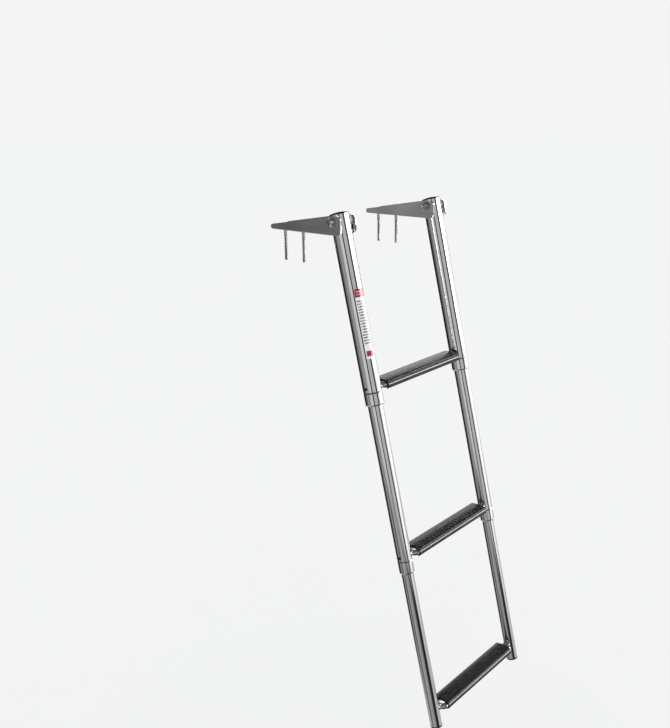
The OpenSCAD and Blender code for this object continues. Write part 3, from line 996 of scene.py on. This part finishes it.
def label_film():
    """A curved sheet with rounded corners, unrolled flat in its UV map."""
    radius = measured("upper_rail_left").outer + seat_gap
    to_rail = rail_place("upper_rail_left").inverted()
    heights = [(to_rail @ corner.co).z for corner in frame["nodes"]["rail_label"].data.vertices]
    start, end = min(heights), max(heights)
    shape = bmesh.new()
    unrolled = shape.loops.layers.uv.new("print")
    skins = []
    for skin in (radius, radius + film):
        grid = []
        for row in range(rows + 1):
            height = start + (end - start) * row / rows
            to_end = min(height - start, end - height)
            inset = film_corner - math.sqrt(max(0.0, film_corner ** 2 - max(0.0, film_corner - to_end) ** 2))
            half_turn = (film_width / 2 - inset) / radius
            angles = [film_facing - half_turn + 2 * half_turn * lane / lanes for lane in range(lanes + 1)]
            grid.append([shape.verts.new((skin * math.cos(a), skin * math.sin(a), height)) for a in angles])
        skins.append(grid)
    for row in range(rows):
        for lane in range(lanes):
            for grid in skins:
                near, far = grid[row], grid[row + 1]
                shape.faces.new((near[lane], near[lane + 1], far[lane + 1], far[lane]))
    rims = []
    for grid in skins:
        sides = [line[-1] for line in grid[1:-1]], [line[0] for line in reversed(grid[1:-1])]
        rims.append(grid[0] + sides[0] + grid[-1][::-1] + sides[1])
    for k in range(len(rims[0])):
        shape.faces.new((rims[0][k - 1], rims[0][k], rims[1][k], rims[1][k - 1]))
    for face in shape.faces:
        for loop in face.loops:
            turn = math.atan2(loop.vert.co.y, loop.vert.co.x)
            across_film = 0.5 - (turn - film_facing) * radius / film_width
            loop[unrolled].uv = (across_film, (loop.vert.co.z - start) / (end - start))
    return as_mesh(shape)


def maths(tree, operation, *values):
    """One step of arithmetic among the nodes."""
    return node(tree, "Math", dict(enumerate(values)), operation=operation).outputs[0]


def printed_film():
    """White film with red blocks and rows of grey bars, under a thin clear layer."""
    made, shader = new_finish("printed_film", (0.88, 0.88, 0.88), 0.3)
    tree = made.node_tree
    unrolled = node(tree, "UVMap", {}, uv_map="print").outputs["UV"]
    flat = node(tree, "SeparateXYZ", {"Vector": unrolled})
    u, v = flat.outputs["X"], flat.outputs["Y"]

    def inside(value, low, high):
        above = maths(tree, "GREATER_THAN", value, low)
        return maths(tree, "MULTIPLY", above, maths(tree, "LESS_THAN", value, high))

    def block(u_low, u_high, v_low, v_high):
        return maths(tree, "MULTIPLY", inside(u, u_low, u_high), inside(v, v_low, v_high))

    def painted(ink, mask, over):
        return node(tree, "Mix", {0: mask, 6: over, 7: (*ink, 1)}, data_type="RGBA").outputs[2]

    smudges = node(tree, "TexNoise", {"Vector": unrolled, "Scale": 40.0, "Detail": 3.0}).outputs["Fac"]
    ground = node(tree, "ValToRGB", {"Fac": smudges})
    for stop, shade in zip(ground.color_ramp.elements, (0.80, 0.92)):
        stop.color = (shade, shade, shade, 1)
    breaks = maths(tree, "PINGPONG", maths(tree, "MULTIPLY", u, breaks_across), 1.0)
    lengths = node(tree, "TexNoise", {"Vector": unrolled, "Scale": 26.0, "Detail": 0.0}).outputs["Fac"]
    down_rows = maths(tree, "FRACT", maths(tree, "MULTIPLY", v, bars_down))
    bars = inside(down_rows, *bar_thickness)
    for mask in (maths(tree, "GREATER_THAN", lengths, bar_share),
                 maths(tree, "GREATER_THAN", breaks, break_width), block(*bars_area)):
        bars = maths(tree, "MULTIPLY", bars, mask)
    colour = painted(ink_grey, bars, ground.outputs["Color"])
    for ink, *edges in blocks:
        colour = painted(ink, block(*edges), colour)
    tree.links.new(colour, shader.inputs["Base Color"])
    dull(shader, smudges, 0.22, 0.38)
    shader.inputs["Coat Weight"].default_value = 0.4
    shader.inputs["Coat Roughness"].default_value = 0.12
    emboss(shader, smudges, 0.01 * MM)
    return made


fit("label_on_tube", label_film(), rail_place("upper_rail_left"), "upper_section", printed_film(),
    "rail_label")


# ---- Middle and lower tubes ----
# Two thinner pairs of the same polished tube slide in the upper pair. The middle tubes are
# drilled for the buttons of their own bushes. The lower ones are plain.
for side in SIDES:
    fit_tube("middle", side, [button_hole("middle", side)])
    fit_tube("lower", side, [])


# ---- Stop rings ----
# A turned ring is fixed on the top of each sliding tube. It comes down on the guide bush and
# stops the tube from pulling out.
for section in ("middle", "lower"):
    for side in SIDES:
        stop = f"{section}_stop_{side}"
        start, end, bore, outer = measured(stop)
        fit(f"{stop}_ring", ring(bore, outer, start, end), rail_place(stop), f"{section}_section",
            fastener_steel, stop)


# ---- Middle collars and bushes ----
# The middle tubes end as the upper ones do, in a turned stainless ferrule over a black nylon bush.
# They are smaller, to suit the thinner tubes.
for side in SIDES:
    fit_collar("middle", side)
    fit_bush("middle", side)


# ---- Middle and lower steps ----
# Each is made as the upper step is: a loop of rod between thinner tubes, so it is a little wider,
# with the same length of tread.
for section in ("middle", "lower"):
    fit_loop(section)
    fit_tread(section)
    fit_welds(section)


# ---- Foot plugs ----
# Moulded black plastic plugs are pressed into the feet of the lower tubes and close them. Their
# edges are rounded to go easy on the hands.
plug_spigot = 12.0 * MM
plug_round = 1.4 * MM

for side in SIDES:
    plug = f"foot_plug_{side}"
    tube = measured(f"lower_rail_{side}")
    plug_end = measured(plug).end
    spigot_start = tube.end - plug_spigot
    spigot_radius = tube.outer - spigot_gap
    shoulder = tube.end + seat_gap
    outline = rounded([(0, spigot_start, 0), (spigot_radius, spigot_start, moulded_edge),
                       (spigot_radius, shoulder, 0), (tube.outer, shoulder, moulded_edge),
                       (tube.outer, plug_end, plug_round), (0, plug_end, 0)])
    fit(f"{plug}_moulding", turned(outline), rail_place(plug), "lower_section", black_plastic,
        plug)


# ---- Floor ----
# A plain pale studio floor lies well below the foot plugs. It is painted matt, and the polished
# steel doesn't mirror it.
floor_below = 0.35
floor_radius = 30.0
floor_dark = (0.935, 0.937, 0.939)
floor_light = (0.94, 0.942, 0.944)
pale = (0.90, 0.905, 0.91)

floor_shape = bmesh.new()
bmesh.ops.create_circle(floor_shape, cap_ends=True, radius=floor_radius, segments=96)
floor = bpy.data.objects.new("studio_floor", as_mesh(floor_shape))
bpy.context.scene.collection.objects.link(floor)
floor.location.z = cad_low.z - floor_below
floor_finish, floor_shader = new_finish("pale_floor", pale, 0.8)
floor_shader.inputs["Specular IOR Level"].default_value = 0.0
tint(floor_shader, pattern(floor_shader, (2, 2, 2), detail=4.0), floor_dark, floor_light)
floor.data.materials.append(floor_finish)
floor.visible_glossy = False


# ---- Studio light ----
# Even pale light falls from all round. Polished steel mirrors the tall soft panels that stand
# round the ladder, with dark gaps between them, under a dark ceiling.
daylight_pale = (0.96, 0.965, 0.97)
camera_side = math.radians(221)  # from +X, the way from the ladder to the camera
panels = [  # degrees to the right of the camera's side, and brightness
    (-180, 0.015), (-116, 0.015), (-106, 0.10), (-92, 0.19), (-84, 0.14), (-78, 0.50), (-72, 0.30),
    (-53, 0.30), (-36, 0.66), (-20, 0.70), (-13, 0.55), (-11, 0.01), (-2, 0.01), (1, 0.48), (12, 0.52),
    (39, 0.52), (42, 0.01), (54, 0.01), (58, 0.55), (66, 0.95), (74, 1.30), (124, 1.40), (136, 0.8),
    (148, 0.3), (180, 0.3)]
low_panels = [  # the same, for what the lowest tubes mirror
    (-180, 0.02), (-104, 0.03), (-88, 0.30), (-78, 0.32), (-64, 0.11), (-54, 0.11), (-42, 0.38), (-32, 0.40),
    (-16, 0.33), (2, 0.27), (14, 0.07), (24, 0.03), (34, 0.01), (50, 0.01), (58, 0.30), (66, 0.50),
    (80, 1.05), (92, 1.0), (108, 0.70), (122, 0.75), (140, 1.0), (180, 1.0)]
low_panels_top = -0.45  # the sine of their height, less the rise below
rise = 0.3  # they stand higher on the camera's side and to its right
rise_from = math.radians(-82)
rise_to = math.radians(-10)
behind_from = math.radians(140)
behind_glow = 1.7
lamp_glow = 18.0  # a strip lamp high on the right
lamp_from = math.radians(72)
lamp_to = math.radians(132)
low_glow = 0.55  # under the panels
ceiling_glow = 0.12
ground_glow = 0.06
far_ground_glow = 0.5  # the ground behind and to the left
far_ground_from = math.radians(-170)
far_ground_to = math.radians(-50)
ceiling_from = 0.44  # these six are sines of the angle above the horizon
lamp_low = 0.085
lamp_high = 0.235
behind_low = 0.05
panels_low = -0.22
ground_from = -0.64

world = bpy.data.worlds.new("studio")
world.use_nodes = True
world.cycles.sampling_method = "NONE"
tree = world.node_tree
tree.nodes.clear()


def step_at(value, edge, softness=0.015):
    """Rises from 0 to 1 as the value passes the edge."""
    limits = {"Value": value, "From Min": edge - softness, "From Max": edge + softness}
    return node(tree, "MapRange", limits, interpolation_type="SMOOTHSTEP").outputs["Result"]


def chosen(mask, without, within):
    """A brightness that changes to another where the mask is 1."""
    return node(tree, "Mix", {0: mask, 2: without, 3: within}).outputs[0]


def between(value, low, high, softness=0.05):
    """Is 1 between two values and 0 outside them."""
    return maths(tree, "SUBTRACT", step_at(value, low, softness), step_at(value, high, softness))


def ring_of_panels(levels):
    """The brightness by direction, from a list of degrees and levels."""
    ramp = node(tree, "ValToRGB", {"Fac": maths(tree, "MULTIPLY_ADD", turn, 0.5 / math.pi, 0.5)})
    peak = max(level for _, level in levels)
    stops = ramp.color_ramp.elements
    while len(stops) < len(levels):
        stops.new(0.5)
    for stop, (degrees, level) in zip(stops, levels):
        stop.position = degrees / 360 + 0.5
        stop.color = (level / peak,) * 3 + (1,)
    return maths(tree, "MULTIPLY", ramp.outputs["Color"], peak)


ways = node(tree, "SeparateXYZ", {"Vector": node(tree, "TexCoord", {}).outputs["Generated"]}).outputs
height = ways["Z"]
turn = maths(tree, "SUBTRACT", maths(tree, "ARCTAN2", ways["Y"], ways["X"]), camera_side)
turn = maths(tree, "WRAP", turn, math.pi, -math.pi)
glow = ring_of_panels(panels)
lift = node(tree, "MapRange", {"Value": turn, "From Min": rise_from, "From Max": rise_to, "To Max": rise})
lowered = maths(tree, "SUBTRACT", height, lift.outputs["Result"])
glow = chosen(step_at(lowered, low_panels_top, softness=0.03), ring_of_panels(low_panels), glow)
under = maths(tree, "MINIMUM", glow, low_glow)
glow = chosen(step_at(height, panels_low, softness=0.04), under, glow)
lamp_beam = between(height, lamp_low, lamp_high, softness=0.015)
lamp = maths(tree, "MULTIPLY", between(turn, lamp_from, lamp_to), lamp_beam)
glow = chosen(lamp, glow, lamp_glow)
turned_away = step_at(maths(tree, "ABSOLUTE", turn), behind_from, softness=0.1)
behind = maths(tree, "MULTIPLY", turned_away, step_at(height, behind_low))
glow = chosen(behind, glow, behind_glow)
glow = chosen(step_at(height, ceiling_from), glow, ceiling_glow)
far_ground = between(turn, far_ground_from, far_ground_to, softness=0.2)
ground = chosen(far_ground, ground_glow, far_ground_glow)
glow = chosen(step_at(height, ground_from, softness=0.04), ground, glow)
rays = node(tree, "LightPath", {}).outputs
seen = {0: rays["Is Camera Ray"], 6: (*daylight_pale, 1), 7: (*pale, 1)}
daylight = node(tree, "Mix", seen, data_type="RGBA").outputs[2]
mirrored = {0: rays["Is Glossy Ray"], 6: daylight, 7: glow}
colour = node(tree, "Mix", mirrored, data_type="RGBA").outputs[2]
light = node(tree, "Background", {"Color": colour})
node(tree, "OutputWorld", {"Surface": light.outputs["Background"]})
bpy.context.scene.world = world
bpy.context.scene.view_settings.view_transform = "Standard"


# ---- Camera ----
# It stands outboard of the ladder and to its left, a little above the pivots, and looks down
# on the steps.
camera_place = Vector((-1.2594, -1.0680, 0.2232))
camera_aim = Vector((0.7233, 0.6281, -0.2868)).normalized()
camera_roll = math.radians(0.825)
camera_lens = 44.9

camera = bpy.data.objects.new("camera", bpy.data.cameras.new("camera"))
bpy.context.scene.collection.objects.link(camera)
level_view = camera_aim.to_track_quat("-Z", "Y").to_matrix().to_4x4()
camera.matrix_world = Matrix.Translation(camera_place) @ level_view @ Matrix.Rotation(-camera_roll, 4, "Z")
camera.data.lens = camera_lens
bpy.context.scene.camera = camera
